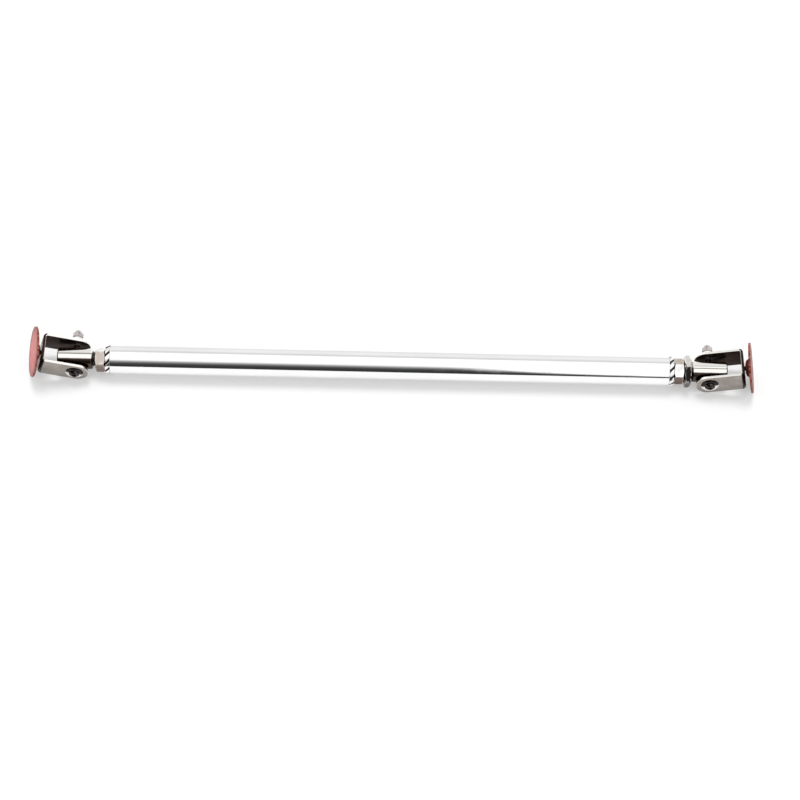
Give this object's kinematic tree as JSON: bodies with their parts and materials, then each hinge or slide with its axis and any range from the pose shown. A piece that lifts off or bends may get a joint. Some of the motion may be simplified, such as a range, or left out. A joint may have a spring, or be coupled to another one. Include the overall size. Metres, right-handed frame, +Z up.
{
  "type": "bed cargo bar",
  "caption": "Polished round bar with a screw-adjusted fork at each end; each fork tilts on a pivot bolt and carries a swivelling round rubber pad that presses on a side wall.",
  "frame": {"origin": "on the ground under the middle of the bar's box, with the bar lying as in use on a floor", "axes": "+X runs along the bar from the end with one nut to the end with two nuts, +Z is up, and the heads of the pivot bolts face -Y"},
  "size_m": [1.2322, 0.0986, 0.0896],
  "materials": {
    "polished_tube": "mirror-polished stainless tube",
    "turned_steel": "bright turned steel",
    "plated_nut": "bright plated steel",
    "threaded_steel": "plain steel thread",
    "stainless_plate": "brushed stainless plate",
    "plated_fastener": "bright plated steel",
    "bronze_bush": "plain bronze",
    "red_brown_rubber": "semi-gloss moulded rubber"
  },
  "bodies": {
    "tube_assembly": {"main_tube": "polished_tube", "left_end_plug": "turned_steel", "right_end_plug": "turned_steel"},
    "left_lock_nut": {"left_lock_nut": "plated_nut"},
    "left_rod": {"left_threaded_rod": "threaded_steel", "left_rod_head": "turned_steel", "left_pivot_bush": "bronze_bush"},
    "left_fork": {"left_fork_bracket": "stainless_plate", "left_pivot_bolt": "plated_fastener", "left_pivot_nut": "plated_fastener", "left_locking_nut": "plated_fastener", "left_head_washer": "plated_fastener", "left_nut_washer": "plated_fastener", "left_pad_stud": "plated_fastener"},
    "left_pad": {"left_pad_socket": "plated_fastener", "left_rubber_pad": "red_brown_rubber"},
    "right_lock_nut": {"right_lock_nut": "plated_nut"},
    "right_jam_nut": {"right_jam_nut": "plated_nut"},
    "right_rod": {"right_threaded_rod": "threaded_steel", "right_rod_head": "turned_steel", "right_pivot_bush": "bronze_bush"},
    "right_fork": {"right_fork_bracket": "stainless_plate", "right_pivot_bolt": "plated_fastener", "right_pivot_nut": "plated_fastener", "right_locking_nut": "plated_fastener", "right_head_washer": "plated_fastener", "right_nut_washer": "plated_fastener", "right_pad_stud": "plated_fastener"},
    "right_pad": {"right_pad_socket": "plated_fastener", "right_rubber_pad": "red_brown_rubber"}
  },
  "joints": [
    {"name": "left_rod_extend", "type": "slide", "parent": "tube_assembly", "child": "left_rod", "axis": [-1, 0, 0], "range_m": [0, 0.06]},
    {"name": "left_lock_nut_turn", "type": "hinge", "parent": "tube_assembly", "child": "left_lock_nut", "pos_m": [-0.48897, -0.00477, 0.02763], "axis": [-1, 0, 0], "range_deg": [0, 360]},
    {"name": "left_fork_tilt", "type": "hinge", "parent": "left_rod", "child": "left_fork", "pos_m": [-0.53387, -0.00477, 0.02763], "axis": [0, 0.9986, 0.0523], "range_deg": [-107, 73]},
    {"name": "left_pad_swivel", "type": "hinge", "parent": "left_fork", "child": "left_pad", "pos_m": [-0.59508, -0.00575, 0.04631], "axis": [0.2924, -0.05, 0.955], "range_deg": [-14, 2]},
    {"name": "right_rod_extend", "type": "slide", "parent": "tube_assembly", "child": "right_rod", "axis": [1, 0, 0], "range_m": [0, 0.06]},
    {"name": "right_lock_nut_turn", "type": "hinge", "parent": "tube_assembly", "child": "right_lock_nut", "pos_m": [0.48253, -0.00477, 0.02763], "axis": [1, 0, 0], "range_deg": [0, 360]},
    {"name": "right_jam_nut_turn", "type": "hinge", "parent": "tube_assembly", "child": "right_jam_nut", "pos_m": [0.49883, -0.00477, 0.02763], "axis": [1, 0, 0], "range_deg": [0, 360]},
    {"name": "right_fork_tilt", "type": "hinge", "parent": "right_rod", "child": "right_fork", "pos_m": [0.53633, -0.00477, 0.02763], "axis": [0, -0.9994, 0.0349], "range_deg": [-102, 78]},
    {"name": "right_pad_swivel", "type": "hinge", "parent": "right_fork", "child": "right_pad", "pos_m": [0.59893, -0.00431, 0.04093], "axis": [-0.2079, 0.0341, 0.9776], "range_deg": [-5.5, 10.5]}
  ],
  "couplings": [
    {"joint": "right_rod_extend", "follows": "left_rod_extend", "ratio": 1}
  ]
}
